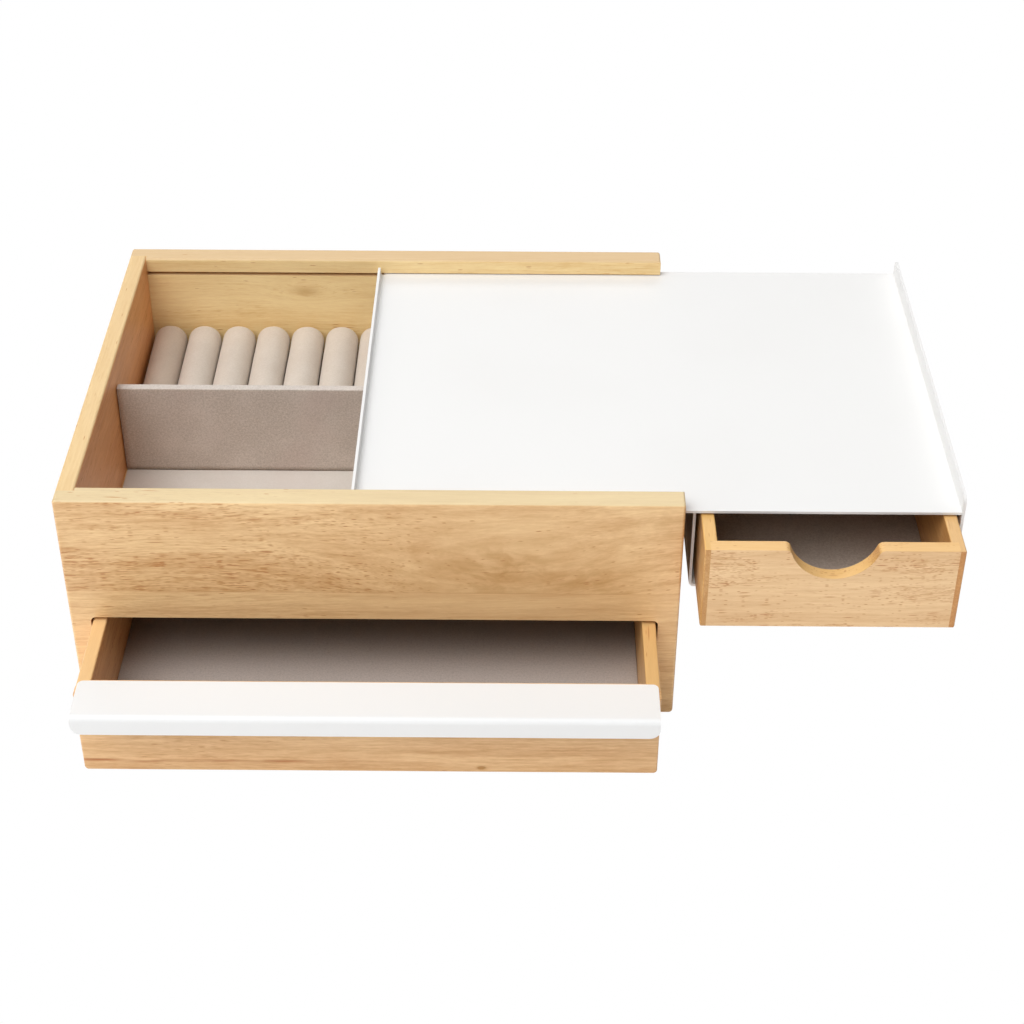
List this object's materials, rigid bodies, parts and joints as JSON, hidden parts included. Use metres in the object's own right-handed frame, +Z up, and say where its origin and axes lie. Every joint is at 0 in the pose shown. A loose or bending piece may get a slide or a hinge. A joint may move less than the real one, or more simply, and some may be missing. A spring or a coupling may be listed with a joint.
{
  "type": "ring box with drawer",
  "caption": "Wooden ring box with a sliding sheet-metal lid that carries a side drawer, a felt-lined compartment with soft ring rolls, and a front drawer with a bent pull.",
  "frame": {"origin": "centre of the case's flat underside", "axes": "+Z up, +X along the case towards the end the lid slides out of, +Y to the back, so the front faces -Y"},
  "size_m": [0.3905, 0.2843, 0.1185],
  "materials": {
    "wood": "satin clear-lacquered hardwood",
    "white_steel": "satin white powder coat on bent steel sheet",
    "lining_felt": "short-nap felt",
    "roll_felt": "short-nap felt over soft foam",
    "board": "bare board, hidden under felt"
  },
  "bodies": {
    "case": {"back_board": "wood", "base_board": "wood", "compartment_felt": "lining_felt", "compartment_floor": "wood", "divider_core": "board", "divider_felt": "lining_felt", "front_board": "wood", "left_wall": "wood", "partition_core": "board", "partition_felt": "lining_felt", "right_wall": "wood", "ring_roll_1": "roll_felt", "ring_roll_2": "roll_felt", "ring_roll_3": "roll_felt", "ring_roll_4": "roll_felt", "ring_roll_5": "roll_felt", "ring_roll_6": "roll_felt", "ring_roll_7": "roll_felt", "ring_roll_8": "roll_felt", "roll_base": "board"},
    "lid": {"lid_plate": "white_steel", "cradle": "white_steel"},
    "side_drawer": {"side_drawer_back": "wood", "side_drawer_felt": "lining_felt", "side_drawer_floor": "wood", "side_drawer_front": "wood", "side_drawer_left": "wood", "side_drawer_right": "wood"},
    "front_drawer": {"front_drawer_back": "wood", "front_drawer_felt": "lining_felt", "front_drawer_floor": "wood", "front_drawer_front": "wood", "front_drawer_left": "wood", "front_drawer_right": "wood", "drawer_pull": "white_steel"}
  },
  "joints": [
    {"name": "lid_slide", "type": "slide", "parent": "case", "child": "lid", "axis": [1, 0, 0], "range_m": [-0.0065, 0.06]},
    {"name": "side_drawer_slide", "type": "slide", "parent": "lid", "child": "side_drawer", "axis": [0, -1, 0], "range_m": [-0.0294, 0.08]},
    {"name": "front_drawer_slide", "type": "slide", "parent": "case", "child": "front_drawer", "axis": [0, -1, 0], "range_m": [-0.05, 0.08]}
  ]
}
